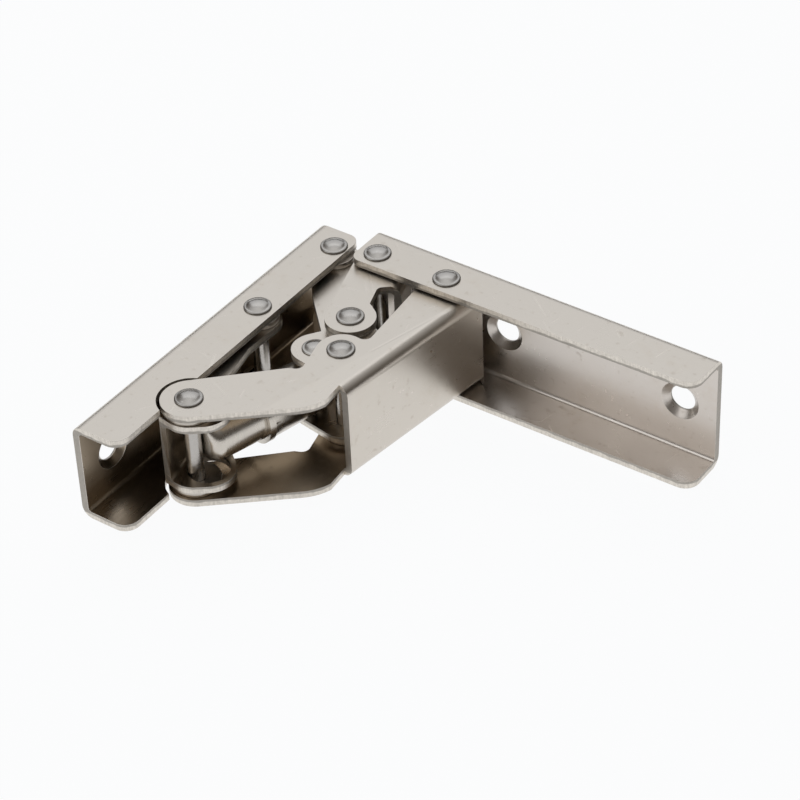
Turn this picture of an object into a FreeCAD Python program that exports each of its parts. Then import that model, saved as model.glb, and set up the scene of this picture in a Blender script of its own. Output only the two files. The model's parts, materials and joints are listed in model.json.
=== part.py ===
# Folding bracket for the drop leaf of a table: two screw-on channels joined by riveted,
# nested sheet-steel links, with a spring capsule that snaps the fold to either end.
# The bracket is modelled folded at a right angle, lying on its side, rivets upright.
import FreeCAD, Part
import math
import os
import re

import Sketcher
from FreeCAD import Rotation, Vector

doc = FreeCAD.newDocument("DropLeafBracket")
sheet = doc.addObject("Spreadsheet::Sheet", "Sizes")

# Driving dimensions in millimetres and degrees
SIZES = {
    # Sheet, bends and the way the links nest inside each other
    "sheet_thickness": 1.5,
    "bend_inner_radius": 0.8,
    "channel_width": 25.0,
    "nest_gap": 0.4,
    "washer_gap": 1.3,
    "washer_play": 0.05,
    # Rivets, named by what they join
    "fixed_front_x": -17.55,
    "fixed_front_y": -7.78,
    "fixed_rear_x": -18.16,
    "fixed_rear_y": -31.29,
    "leaf_front_x": -7.45,
    "leaf_front_y": -7.31,
    "leaf_rear_x": 8.35,
    "leaf_rear_y": -7.03,
    "elbow_x": -1.55,
    "elbow_y": -24.47,
    "centre_x": 2.93,
    "centre_y": -33.60,
    "arm_end_x": -11.76,
    "arm_end_y": -60.19,
    "spring_seat_x": -3.70,
    "spring_seat_y": -32.93,
    "rivet_diameter": 3.2,
    "rivet_head_diameter": 5.4,
    "rivet_head_height": 1.1,
    "rivet_dome_radius": 6.0,
    "rivet_rim_radius": 0.7,
    "rivet_rim_height": 0.35,
    "rivet_flat_radius": 0.6,
    "low_head_diameter": 5.0,
    "low_head_height": 0.9,
    "low_rim_radius": 0.5,
    "low_rim_height": 0.25,
    "running_clearance": 0.05,
    "washer_diameter": 9.4,
    "small_washer_diameter": 8.0,
    # Screw holes, countersunk from inside the channels
    "screw_hole_diameter": 5.2,
    "countersink_diameter": 8.0,
    "countersink_depth": 1.1,
    # Fixed channel
    "fixed_web_offset": 7.32,
    "fixed_tip": 4.88,
    "fixed_length": 74.7,
    "fixed_flange_tip": 10.3,
    "fixed_flange_end": 10.87,
    "fixed_tip_radius": 2.5,
    "fixed_end_radius": 3.0,
    "fixed_notch_radius": 6.0,
    "fixed_screw_front": 33.2,
    "fixed_screw_rear": 61.5,
    # Leaf channel
    "leaf_web_offset": 7.31,
    "leaf_tip": 3.85,
    "leaf_length": 75.6,
    "leaf_flange_tip": 11.2,
    "leaf_flange_end": 10.1,
    "leaf_tip_radius": 2.0,
    "leaf_end_radius": 3.0,
    "leaf_screw_front": 25.05,
    "leaf_screw_rear": 63.95,
    # Body link, measured from its centre rivet along its web
    "body_web_direction": 83.23,
    "body_web_offset": 8.97,
    "body_web_start": -8.0,
    "body_web_end": 29.4,
    "body_arm_end_radius": 5.35,
    "body_elbow_x": -10.74,
    "body_elbow_y": 2.28,
    "body_elbow_radius": 10.5,
    "body_lobe_radius": 4.7,
    "body_leaf_lobe_radius": 4.95,
    "body_throat_x": 6.2,
    "body_throat_y": -0.3,
    "body_throat_radius": 1.5,
    "body_hook_x": -8.28,
    "body_hook_y": 3.58,
    "body_hook_radius": 1.6,
    "body_hook_corner_x": -10.21,
    "body_hook_corner_y": 3.75,
    "body_slot_reach_x": 2.47,
    "body_slot_reach_y": 1.23,
    "body_slot_radius": 1.85,
    # Centre link, measured from the fixed channel's front rivet towards the elbow rivet
    "centre_web_offset": 5.0,
    "centre_web_start": 1.0,
    "centre_web_end": 18.6,
    "centre_tail_radius": 5.0,
    "centre_back_x": 11.5,
    "centre_back_y": -5.82,
    "centre_waist_x": 22.8,
    "centre_waist_y": -5.58,
    "centre_seat_radius": 4.5,
    "centre_lobe_radius": 4.9,
    "centre_shoulder_x": 25.47,
    "centre_shoulder_y": 5.16,
    "centre_step_x": 22.8,
    "centre_step_y": 4.25,
    # Short link, measured from the leaf channel's front rivet towards the elbow rivet
    "short_web_offset": 6.7,
    "short_web_start": 1.2,
    "short_web_end": 7.2,
    "short_leaf_radius": 4.4,
    "short_elbow_radius": 4.9,
    "short_edge_offset": 2.35,
    "short_edge_end": 4.85,
    "short_arch_x": 9.0,
    "short_arch_y": 3.6,
    "short_arch_radius": 1.25,
    # Cradle link, measured from the fixed channel's rear rivet towards the arm-end rivet
    "cradle_web_offset": 4.6,
    "cradle_web_start": 3.0,
    "cradle_web_beyond": 3.6,
    "cradle_rear_radius": 4.4,
    "cradle_ear_radius": 5.0,
    "cradle_edge_offset": 2.2,
    "cradle_edge_start": 9.0,
    "cradle_edge_end": 9.0,
    "cradle_eye_back": 1.18,
    "cradle_eye_side": 2.05,
    "cradle_eye_radius": 4.1,
    "cradle_eye_wall": 1.1,
    # Spring capsule, measured from the arm-end rivet towards the spring seat
    "cup_radius": 5.05,
    "cup_wall": 0.8,
    "cup_dome_radius": 2.4,
    "cup_open_end": 18.0,
    "sleeve_mouth": 13.2,
    "sleeve_floor": 23.6,
    "sleeve_collar_radius": 6.0,
    "sleeve_collar_width": 1.4,
    "sleeve_neck_radius": 5.7,
    "sleeve_end_radius": 5.2,
    "sleeve_fork_floor": 3.4,
    "sleeve_fork_width": 4.7,
    "sleeve_fork_shift": 0.6,
}

for row, (alias, number) in enumerate(SIZES.items(), start=1):
    sheet.set(f"A{row}", alias)
    sheet.set(f"B{row}", str(number))
    sheet.setAlias(f"B{row}", alias)
doc.recompute()

ALIASES = re.compile(r"\b(" + "|".join(sorted(SIZES, key=len, reverse=True)) + r")\b")


def linked(text):
    """The same expression with every size name pointing into the sheet."""
    return ALIASES.sub(r"Sizes.\1", str(text))


def measure(text):
    """The present value of an expression, as a plain number."""
    found = sheet.evalExpression(linked(text))
    return float(getattr(found, "Value", found))


def bind(thing, prop, text):
    """Ties one property of an object to an expression on the sheet's sizes."""
    thing.setExpression(prop, linked(text))


# Middle of the whole bracket as it lies, from the outer ends of the two channels
BASE_X = "((fixed_front_x - fixed_web_offset + leaf_front_x - leaf_tip + leaf_length) / 2)"
BASE_Y = "((leaf_front_y + leaf_web_offset + fixed_front_y + fixed_tip - fixed_length) / 2)"

# Levels of the nested sheets, from the outermost to the innermost
LEAF_LOW = "0"
LEAF_HIGH = "channel_width"
BODY_LOW = "(sheet_thickness + nest_gap)"
BODY_HIGH = "(channel_width - sheet_thickness - nest_gap)"
CENTRE_LOW = "(2 * sheet_thickness + nest_gap + washer_gap)"
CENTRE_HIGH = "(channel_width - 2 * sheet_thickness - nest_gap - washer_gap)"
MIDDLE = "(channel_width / 2)"
FAR = 200.0


def span(start, end):
    """Distance between two rivets, as an expression."""
    return f"hypot({end}_x - {start}_x; {end}_y - {start}_y)"


def along(origin, towards, point):
    """Where a rivet lies along the line from one rivet towards another."""
    dot = (
        f"(({point}_x - {origin}_x) * ({towards}_x - {origin}_x)"
        f" + ({point}_y - {origin}_y) * ({towards}_y - {origin}_y))"
    )
    return f"{dot} / {span(origin, towards)}"


def across(origin, towards, point):
    """How far a rivet lies to the left of the line from one rivet towards another."""
    cross = (
        f"(({point}_y - {origin}_y) * ({towards}_x - {origin}_x)"
        f" - ({point}_x - {origin}_x) * ({towards}_y - {origin}_y))"
    )
    return f"{cross} / {span(origin, towards)}"


def turned(origin, direction, point):
    """Place of a rivet in a frame at another rivet, turned by an angle: two expressions."""
    dx = f"({point}_x - {origin}_x)"
    dy = f"({point}_y - {origin}_y)"
    return (
        f"{dx} * cos({direction}) + {dy} * sin({direction})",
        f"{dy} * cos({direction}) - {dx} * sin({direction})",
    )


def origin_plane(body, role):
    """One of a body's own base planes."""
    for feature in body.Origin.OriginFeatures:
        if feature.Role == role:
            return feature
    raise ValueError(role)


def new_body(name, origin, direction):
    """A body whose own frame sits at a rivet and is turned by an angle about it."""
    body = doc.addObject("PartDesign::Body", name)
    body.Label = name
    bind(body, "Placement.Base.x", f"{origin}_x - {BASE_X}")
    bind(body, "Placement.Base.y", f"{origin}_y - {BASE_Y}")
    bind(body, "Placement.Base.z", "rivet_head_height")
    body.Placement.Rotation = Rotation(Vector(0, 0, 1), 0)
    bind(body, "Placement.Rotation.Angle", direction)
    return body


def new_sketch(body, name, role, height="0"):
    """A sketch on one of the body's base planes, raised along its normal."""
    sketch = body.newObject("Sketcher::SketchObject", name)
    sketch.AttachmentSupport = [(origin_plane(body, role), "")]
    sketch.MapMode = "FlatFace"
    bind(sketch, "AttachmentOffset.Base.z", height)
    return sketch


def fix(sketch, kind, geometry, text, end=None):
    """Adds one dimension to a sketch and ties it to an expression."""
    value = measure(text)
    if end is None:
        index = sketch.addConstraint(Sketcher.Constraint(kind, geometry, value))
    else:
        index = sketch.addConstraint(Sketcher.Constraint(kind, geometry, end, value))
    bind(sketch, f"Constraints[{index}]", text)


def outline(sketch, knots):
    """Draws a closed outline that runs round signed circles, joined by tangent lines.

    A knot is (x, y, radius), each an expression or a number. The outline turns left round
    a circle of positive radius, right round a negative one, and has a corner at zero.
    """
    first = sketch.GeometryCount
    places = [tuple(measure(part) for part in knot) for knot in knots]
    count = len(places)
    runs = []
    for index, (x1, y1, r1) in enumerate(places):
        x2, y2, r2 = places[(index + 1) % count]
        reach = math.hypot(x2 - x1, y2 - y1)
        heading = math.atan2(y2 - y1, x2 - x1) + math.asin((r1 - r2) / reach)
        side = Vector(math.sin(heading), -math.cos(heading), 0)
        start = Vector(x1, y1, 0) + side * r1
        end = Vector(x2, y2, 0) + side * r2
        runs.append((start, end))
        sketch.addGeometry(Part.LineSegment(start, end), False)
    for index, (x, y, radius) in enumerate(places):
        before = first + (index - 1) % count
        after = first + index
        text_x, text_y, text_radius = knots[index]
        if radius == 0:
            sketch.addConstraint(Sketcher.Constraint("Coincident", before, 2, after, 1))
            fix(sketch, "DistanceX", after, text_x, 1)
            fix(sketch, "DistanceY", after, text_y, 1)
            continue
        arrive = runs[(index - 1) % count][1]
        leave = runs[index][0]
        begin, finish = (arrive, leave) if radius > 0 else (leave, arrive)
        angle_begin = math.atan2(begin.y - y, begin.x - x)
        angle_finish = math.atan2(finish.y - y, finish.x - x)
        if angle_finish <= angle_begin:
            angle_finish += 2 * math.pi
        circle = Part.Circle(Vector(x, y, 0), Vector(0, 0, 1), abs(radius))
        arc = sketch.addGeometry(Part.ArcOfCircle(circle, angle_begin, angle_finish), False)
        entry, leaving = (1, 2) if radius > 0 else (2, 1)
        sketch.addConstraint(Sketcher.Constraint("Tangent", before, 2, arc, entry))
        sketch.addConstraint(Sketcher.Constraint("Tangent", arc, leaving, after, 1))
        fix(sketch, "DistanceX", arc, text_x, 3)
        fix(sketch, "DistanceY", arc, text_y, 3)
        fix(sketch, "Radius", arc, f"abs({text_radius})")


def circle(sketch, x, y, diameter):
    """Draws a dimensioned circle."""
    round_edge = Part.Circle(Vector(measure(x), measure(y), 0), Vector(0, 0, 1), measure(diameter) / 2)
    index = sketch.addGeometry(round_edge, False)
    fix(sketch, "DistanceX", index, x, 3)
    fix(sketch, "DistanceY", index, y, 3)
    fix(sketch, "Diameter", index, diameter)


def pad(body, sketch, length):
    """Raises a sketch into a solid."""
    feature = body.newObject("PartDesign::Pad", sketch.Name + "_pad")
    feature.Profile = sketch
    bind(feature, "Length", length)
    sketch.Visibility = False
    doc.recompute()
    return feature


def cut(body, sketch, length=None, both_ways=False):
    """Cuts a sketch upwards by a length, or right through to both sides."""
    before = body.Shape.Volume
    feature = body.newObject("PartDesign::Pocket", sketch.Name + "_cut")
    feature.Profile = sketch
    feature.Reversed = not both_ways
    if length is None:
        feature.Type = "ThroughAll"
        feature.Midplane = both_ways
    else:
        feature.Type = "Length"
        bind(feature, "Length", length)
        feature.Midplane = both_ways
    doc.recompute()
    if not body.Shape.Volume < before:
        raise RuntimeError(f"{feature.Name} removes nothing")
    return feature


def round_bend(body, name, corner_y, corner_z, out_y, out_z, start, end):
    """Rounds the outside of one fold between two places along x, or all along it."""
    radius = "(bend_inner_radius + sheet_thickness)"
    height = "0" if start is None else start
    section = new_sketch(body, name, "YZ_Plane", height)
    knots = [
        (f"{corner_y} + {out_y}", f"{corner_z} + {out_z}", "0"),
        (f"{corner_y} + {out_y}", f"{corner_z} - {out_z} * ({radius} + 1)", "0"),
        (corner_y, f"{corner_z} - {out_z} * ({radius} + 1)", "0"),
        (f"{corner_y} - {out_y} * {radius}", f"{corner_z} - {out_z} * {radius}", radius),
        (f"{corner_y} - {out_y} * ({radius} + 1)", corner_z, "0"),
        (f"{corner_y} - {out_y} * ({radius} + 1)", f"{corner_z} + {out_z}", "0"),
    ]
    turns_left = out_y * out_z < 0
    sign = "-" if turns_left else ""
    knots[3] = (knots[3][0], knots[3][1], f"{sign}{radius}")
    outline(section, knots)
    if start is None:
        cut(body, section, both_ways=True)
    else:
        cut(body, section, f"{end} - {start}")


def fold(body, name, knots, low, high, web, side, start=None, end=None, free=()):
    """A sheet folded to a U: two plates of one outline, joined by a web along x.

    web is the offset of the web's outer face and side its sign. start and end say where
    the web begins and stops, and free names the ends beyond which the plates go on.
    """
    thick = "sheet_thickness"
    plan = new_sketch(body, name + "_plan", "XY_Plane", low)
    outline(plan, knots)
    pad(body, plan, f"{high} - {low}")

    bend = "bend_inner_radius"
    inner_low = f"({low} + {thick})"
    inner_high = f"({high} - {thick})"
    wall = f"{side} * ({web} - {thick})"
    away = f"{-side * FAR}"
    turn = f"{wall} - {side} * {bend}"
    section = new_sketch(body, name + "_inside", "YZ_Plane")
    corners = [
        (away, inner_low, "0"),
        (turn, f"{inner_low} + {bend}", bend),
        (turn, f"{inner_high} - {bend}", bend),
        (away, inner_high, "0"),
    ]
    if side < 0:
        corners.reverse()
    outline(section, corners)
    cut(body, section, both_ways=True)

    for place, sign in ((start, -1), (end, 1)):
        if place not in free:
            continue
        window = new_sketch(body, f"{name}_free_{len(body.Group)}", "XY_Plane", inner_low)
        beyond = f"{sign * FAR}"
        low_x, high_x = (beyond, place) if sign < 0 else (place, beyond)
        outline(window, [
            (low_x, f"{-FAR}", "0"),
            (high_x, f"{-FAR}", "0"),
            (high_x, f"{FAR}", "0"),
            (low_x, f"{FAR}", "0"),
        ])
        cut(body, window, f"{inner_high} - {inner_low}")

    edge = f"{side} * {web}"
    round_bend(body, name + "_lower_bend", edge, low, side, -1, start, end)
    round_bend(body, name + "_upper_bend", edge, high, side, 1, start, end)


def pierce(body, name, holes):
    """Round holes straight through both plates of a link."""
    sketch = new_sketch(body, name + "_holes", "XY_Plane")
    for x, y, diameter in holes:
        circle(sketch, x, y, diameter)
    cut(body, sketch, both_ways=True)


def screw_hole(body, name, x, web, side):
    """A countersunk screw hole through the web, opening towards the inside."""
    outer = f"{side} * {web}"
    inner = f"{side} * ({web} - sheet_thickness)"
    sink = f"{side} * ({web} - sheet_thickness + countersink_depth)"
    profile = new_sketch(body, name, "XY_Plane", MIDDLE)
    over = f"{inner} - {side}"
    past = f"{outer} + {side}"
    knots = [
        (x, past, "0"),
        (f"{x} - screw_hole_diameter / 2", past, "0"),
        (f"{x} - screw_hole_diameter / 2", sink, "0"),
        (f"{x} - countersink_diameter / 2", inner, "0"),
        (f"{x} - countersink_diameter / 2", over, "0"),
        (x, over, "0"),
    ]
    if side < 0:
        knots.reverse()
    outline(profile, knots)
    axis = profile.addGeometry(
        Part.LineSegment(Vector(measure(x), -1, 0), Vector(measure(x), 1, 0)), True
    )
    fix(profile, "DistanceX", axis, x, 1)
    fix(profile, "DistanceX", axis, x, 2)
    fix(profile, "DistanceY", axis, "-1", 1)
    fix(profile, "DistanceY", axis, "1", 2)
    before = body.Shape.Volume
    groove = body.newObject("PartDesign::Groove", name + "_sink")
    groove.Profile = profile
    groove.ReferenceAxis = (profile, ["Axis0"])
    groove.Angle = 360
    doc.recompute()
    if not body.Shape.Volume < before:
        raise RuntimeError(f"{name} removes nothing")


# Fixed channel: its own x runs from the tip to the far end
HOLE = "rivet_diameter"
RUNNING_HOLE = "(rivet_diameter + 2 * running_clearance)"
fixed_end = "(fixed_length - fixed_tip)"
fixed_edge_tip = "(fixed_flange_tip - fixed_web_offset)"
fixed_edge_end = "(fixed_flange_end - fixed_web_offset)"
fixed_channel = new_body("fixed_channel", "fixed_front", "-90")
fold(
    fixed_channel,
    "fixed_channel",
    [
        ("-fixed_tip", "-fixed_web_offset", "0"),
        (fixed_end, "-fixed_web_offset", "0"),
        (f"{fixed_end} - fixed_end_radius", f"{fixed_edge_end} - fixed_end_radius", "fixed_end_radius"),
        ("fixed_tip_radius - fixed_tip", f"{fixed_edge_tip} - fixed_tip_radius", "fixed_tip_radius"),
    ],
    BODY_LOW,
    BODY_HIGH,
    "fixed_web_offset",
    -1,
)
rear_x, rear_y = turned("fixed_front", "-90", "fixed_rear")
arm_x, arm_y = turned("fixed_front", "-90", "arm_end")
pierce(fixed_channel, "fixed_channel", [("0", "0", HOLE), (rear_x, rear_y, HOLE)])
notch = new_sketch(fixed_channel, "fixed_channel_notch", "XY_Plane")
circle(notch, arm_x, arm_y, "2 * fixed_notch_radius")
cut(fixed_channel, notch, both_ways=True)
screw_hole(fixed_channel, "fixed_screw_front_hole", "fixed_screw_front", "fixed_web_offset", -1)
screw_hole(fixed_channel, "fixed_screw_rear_hole", "fixed_screw_rear", "fixed_web_offset", -1)

# Leaf channel: the widest sheet, over all the others
leaf_end = "(leaf_length - leaf_tip)"
leaf_edge_tip = "(leaf_web_offset - leaf_flange_tip)"
leaf_edge_end = "(leaf_web_offset - leaf_flange_end)"
leaf_channel = new_body("leaf_channel", "leaf_front", "0")
fold(
    leaf_channel,
    "leaf_channel",
    [
        ("-leaf_tip", "leaf_web_offset", "0"),
        ("leaf_tip_radius - leaf_tip", f"{leaf_edge_tip} + leaf_tip_radius", "leaf_tip_radius"),
        (f"{leaf_end} - leaf_end_radius", f"{leaf_edge_end} + leaf_end_radius", "leaf_end_radius"),
        (leaf_end, "leaf_web_offset", "0"),
    ],
    LEAF_LOW,
    LEAF_HIGH,
    "leaf_web_offset",
    1,
)
leaf_x, leaf_y = turned("leaf_front", "0", "leaf_rear")
pierce(leaf_channel, "leaf_channel", [("0", "0", HOLE), (leaf_x, leaf_y, HOLE)])
screw_hole(leaf_channel, "leaf_screw_front_hole", "leaf_screw_front", "leaf_web_offset", 1)
screw_hole(leaf_channel, "leaf_screw_rear_hole", "leaf_screw_rear", "leaf_web_offset", 1)

# Body link: the long cranked link that carries the spring capsule's outer end
body_arm_x, body_arm_y = turned("centre", "body_web_direction", "arm_end")
body_leaf_x, body_leaf_y = turned("centre", "body_web_direction", "leaf_rear")
body_link = new_body("body_link", "centre", "body_web_direction")
fold(
    body_link,
    "body_link",
    [
        ("body_web_start", "-body_web_offset", "0"),
        ("body_web_end", "-body_web_offset", "0"),
        (body_leaf_x, body_leaf_y, "body_leaf_lobe_radius"),
        ("body_throat_x", "body_throat_y", "-body_throat_radius"),
        ("0", "0", "body_lobe_radius"),
        ("body_hook_x", "body_hook_y", "-body_hook_radius"),
        ("body_hook_corner_x", "body_hook_corner_y", "0"),
        (body_arm_x, body_arm_y, "body_arm_end_radius"),
        ("body_elbow_x", "body_elbow_y", "body_elbow_radius"),
    ],
    BODY_LOW,
    BODY_HIGH,
    "body_web_offset",
    -1,
    "body_web_start",
    "body_web_end",
    free=["body_web_start"],
)
pierce(body_link, "body_link", [("0", "0", HOLE), (body_arm_x, body_arm_y, HOLE)])
slot = new_sketch(body_link, "body_link_slot", "XY_Plane")
outline(slot, [
    (body_leaf_x, body_leaf_y, "body_slot_radius"),
    (f"{body_leaf_x} + body_slot_reach_x", f"{body_leaf_y} + body_slot_reach_y", "body_slot_radius"),
])
cut(body_link, slot, both_ways=True)

# Centre link: between the fixed channel, the short link and the body link
seat_x = along("fixed_front", "elbow", "spring_seat")
seat_y = across("fixed_front", "elbow", "spring_seat")
lobe_x = along("fixed_front", "elbow", "centre")
lobe_y = across("fixed_front", "elbow", "centre")
centre_direction = "atan2(elbow_y - fixed_front_y; elbow_x - fixed_front_x)"
centre_link = new_body("centre_link", "fixed_front", centre_direction)
fold(
    centre_link,
    "centre_link",
    [
        ("0", "0", "centre_tail_radius"),
        ("centre_back_x", "centre_back_y", "0"),
        ("centre_waist_x", "centre_waist_y", "0"),
        (seat_x, seat_y, "centre_seat_radius"),
        (lobe_x, lobe_y, "centre_lobe_radius"),
        ("centre_shoulder_x", "centre_shoulder_y", "0"),
        ("centre_step_x", "centre_step_y", "0"),
        ("centre_web_end", "centre_web_offset", "0"),
        ("centre_web_start", "centre_web_offset", "0"),
    ],
    CENTRE_LOW,
    CENTRE_HIGH,
    "centre_web_offset",
    1,
    "centre_web_start",
    "centre_web_end",
    free=["centre_web_start", "centre_web_end"],
)
pierce(centre_link, "centre_link", [
    ("0", "0", RUNNING_HOLE),
    (span("fixed_front", "elbow"), "0", HOLE),
    (seat_x, seat_y, HOLE),
    (lobe_x, lobe_y, RUNNING_HOLE),
])

# Short link: from the leaf channel to the elbow, with an arch beside its bridge
short_length = span("leaf_front", "elbow")
short_direction = "atan2(elbow_y - leaf_front_y; elbow_x - leaf_front_x)"
short_link = new_body("short_link", "leaf_front", short_direction)
fold(
    short_link,
    "short_link",
    [
        ("0", "0", "short_leaf_radius"),
        (short_length, "0", "short_elbow_radius"),
        (f"{short_length} - short_edge_end", "short_edge_offset", "0"),
        ("short_arch_x", "short_arch_y", "-short_arch_radius"),
        ("short_web_end", "short_web_offset", "0"),
        ("short_web_start", "short_web_offset", "0"),
    ],
    BODY_LOW,
    BODY_HIGH,
    "short_web_offset",
    1,
    "short_web_start",
    "short_web_end",
    free=["short_web_start", "short_web_end"],
)
pierce(short_link, "short_link", [("0", "0", RUNNING_HOLE), (short_length, "0", RUNNING_HOLE)])

# Cradle link: from the fixed channel to the arm's end, with a wide eye for the arm's rivet
cradle_length = span("fixed_rear", "arm_end")
cradle_end = f"({cradle_length} + cradle_web_beyond)"
eye_x = f"{cradle_length} - cradle_eye_back"
cradle_direction = "atan2(arm_end_y - fixed_rear_y; arm_end_x - fixed_rear_x)"
cradle_link = new_body("cradle_link", "fixed_rear", cradle_direction)
fold(
    cradle_link,
    "cradle_link",
    [
        ("0", "0", "cradle_rear_radius"),
        ("cradle_web_start", "-cradle_web_offset", "0"),
        (cradle_end, "-cradle_web_offset", "0"),
        (cradle_length, "0", "cradle_ear_radius"),
        (eye_x, "cradle_eye_side", "cradle_eye_radius + cradle_eye_wall"),
        (f"{cradle_length} - cradle_edge_end", "cradle_edge_offset", "0"),
        ("cradle_edge_start", "cradle_edge_offset", "0"),
    ],
    CENTRE_LOW,
    CENTRE_HIGH,
    "cradle_web_offset",
    -1,
    "cradle_web_start",
    cradle_end,
    free=["cradle_web_start"],
)
pierce(cradle_link, "cradle_link", [
    ("0", "0", RUNNING_HOLE),
    (eye_x, "cradle_eye_side", "2 * cradle_eye_radius"),
])


def rivet(name, place, low, high, head):
    """A rivet set at both ends: a shank with a flattened dome outside each plate.

    head gives the radius and height of the heads and the radius and height of their rims.
    """
    radius, head_height, rim, rim_height = head
    body = new_body(name, place, "0")
    profile = new_sketch(body, name + "_profile", "XZ_Plane")
    shank = "rivet_diameter / 2"
    dome = "rivet_dome_radius"
    rim_x = f"{radius} - {rim}"
    outline(profile, [
        ("0", f"{low} - {head_height}", "0"),
        ("rivet_flat_radius", f"{low} - {head_height} + {dome}", dome),
        (rim_x, f"{low} - {rim_height}", rim),
        (radius, low, "0"),
        (shank, low, "0"),
        (shank, high, "0"),
        (radius, high, "0"),
        (rim_x, f"{high} + {rim_height}", rim),
        ("rivet_flat_radius", f"{high} + {head_height} - {dome}", dome),
        ("0", f"{high} + {head_height}", "0"),
    ])
    turn = body.newObject("PartDesign::Revolution", name + "_turned")
    turn.Profile = profile
    turn.ReferenceAxis = (profile, ["V_Axis"])
    turn.Angle = 360
    doc.recompute()
    return body


HEAD = ("rivet_head_diameter / 2", "rivet_head_height", "rivet_rim_radius", "rivet_rim_height")
LOW_HEAD = ("low_head_diameter / 2", "low_head_height", "low_rim_radius", "low_rim_height")
rivets = [
    rivet("rivet_fixed_front", "fixed_front", BODY_LOW, BODY_HIGH, HEAD),
    rivet("rivet_fixed_rear", "fixed_rear", BODY_LOW, BODY_HIGH, HEAD),
    rivet("rivet_leaf_front", "leaf_front", LEAF_LOW, LEAF_HIGH, HEAD),
    rivet("rivet_leaf_rear", "leaf_rear", LEAF_LOW, LEAF_HIGH, HEAD),
    rivet("rivet_elbow", "elbow", BODY_LOW, BODY_HIGH, HEAD),
    rivet("rivet_centre", "centre", BODY_LOW, BODY_HIGH, HEAD),
    rivet("rivet_arm_end", "arm_end", BODY_LOW, BODY_HIGH, HEAD),
    rivet("rivet_spring_seat", "spring_seat", CENTRE_LOW, CENTRE_HIGH, LOW_HEAD),
]


def washer_pair(name, place, diameter):
    """Two flat washers on one rivet, in the gaps between the outer and the inner plates."""
    rings = []
    lower = f"{BODY_LOW} + sheet_thickness + washer_play"
    upper = f"{CENTRE_HIGH} + washer_play"
    for level, bottom in (("lower", lower), ("upper", upper)):
        disc = doc.addObject("Part::Cylinder", f"{name}_{level}_disc")
        bore = doc.addObject("Part::Cylinder", f"{name}_{level}_bore")
        bind(disc, "Radius", f"{diameter} / 2")
        bind(bore, "Radius", f"{RUNNING_HOLE} / 2")
        for solid in (disc, bore):
            bind(solid, "Height", "washer_gap - 2 * washer_play")
            bind(solid, "Placement.Base.z", bottom)
        ring = doc.addObject("Part::Cut", f"{name}_{level}")
        ring.Base = disc
        ring.Tool = bore
        rings.append(ring)
    pair = doc.addObject("Part::Compound", name)
    pair.Label = name
    pair.Links = rings
    bind(pair, "Placement.Base.x", f"{place}_x - {BASE_X}")
    bind(pair, "Placement.Base.y", f"{place}_y - {BASE_Y}")
    bind(pair, "Placement.Base.z", "rivet_head_height")
    doc.recompute()
    return pair


washers = [
    washer_pair("washers_fixed_front", "fixed_front", "small_washer_diameter"),
    washer_pair("washers_fixed_rear", "fixed_rear", "small_washer_diameter"),
    washer_pair("washers_elbow", "elbow", "washer_diameter"),
    washer_pair("washers_centre", "centre", "small_washer_diameter"),
    washer_pair("washers_arm_end", "arm_end", "washer_diameter"),
]

# Spring capsule: a domed cup that slides in a collared sleeve, along the body's own x
capsule_direction = "atan2(spring_seat_y - arm_end_y; spring_seat_x - arm_end_x)"
capsule_length = span("arm_end", "spring_seat")
cup_start = "(rivet_diameter / 2 + running_clearance)"


def revolved(name, knots):
    """A turned piece of the spring capsule, from half of its section."""
    body = new_body(name, "arm_end", capsule_direction)
    section = new_sketch(body, name + "_section", "XZ_Plane")
    bind(section, "AttachmentOffset.Base.y", MIDDLE)
    outline(section, knots)
    turn = body.newObject("PartDesign::Revolution", name + "_turned")
    turn.Profile = section
    turn.ReferenceAxis = (section, ["H_Axis"])
    turn.Angle = 360
    doc.recompute()
    return body


spring_cup = revolved("spring_cup", [
    (cup_start, "0", "0"),
    (f"{cup_start} + cup_wall", "0", "0"),
    (f"{cup_start} + cup_wall", "cup_radius - cup_wall", "0"),
    ("cup_open_end", "cup_radius - cup_wall", "0"),
    ("cup_open_end", "cup_radius", "0"),
    (f"{cup_start} + cup_dome_radius", "cup_radius - cup_dome_radius", "cup_dome_radius"),
])

sleeve_bore = "(cup_radius + running_clearance)"
collar_end = "(sleeve_mouth + sleeve_collar_width)"
spring_sleeve = revolved("spring_sleeve", [
    ("sleeve_floor", "0", "0"),
    (capsule_length, "0", "0"),
    (capsule_length, "sleeve_end_radius", "0"),
    (collar_end, "sleeve_neck_radius", "0"),
    (collar_end, "sleeve_collar_radius", "0"),
    ("sleeve_mouth", "sleeve_collar_radius", "0"),
    ("sleeve_mouth", sleeve_bore, "0"),
    ("sleeve_floor", sleeve_bore, "0"),
])
fork = new_sketch(spring_sleeve, "spring_sleeve_fork", "XY_Plane", MIDDLE)
fork_low = "(sleeve_fork_shift - sleeve_fork_width / 2)"
fork_high = "(sleeve_fork_shift + sleeve_fork_width / 2)"
outline(fork, [
    (f"{capsule_length} - sleeve_fork_floor", fork_low, "0"),
    (f"{capsule_length} + 1", fork_low, "0"),
    (f"{capsule_length} + 1", fork_high, "0"),
    (f"{capsule_length} - sleeve_fork_floor", fork_high, "0"),
])
cut(spring_sleeve, fork, both_ways=True)

# Every piece is checked before any file is written
pieces = [
    fixed_channel,
    leaf_channel,
    body_link,
    centre_link,
    short_link,
    cradle_link,
    *rivets,
    *washers,
    spring_cup,
    spring_sleeve,
]
doc.recompute()
for thing in doc.Objects:
    if "Invalid" in thing.State or "Error" in thing.State:
        raise RuntimeError(f"{thing.Name} failed: {thing.State}")
for piece in pieces:
    if piece.Shape.isNull() or not piece.Shape.isValid():
        raise RuntimeError(f"{piece.Label} has no sound shape")

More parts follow.
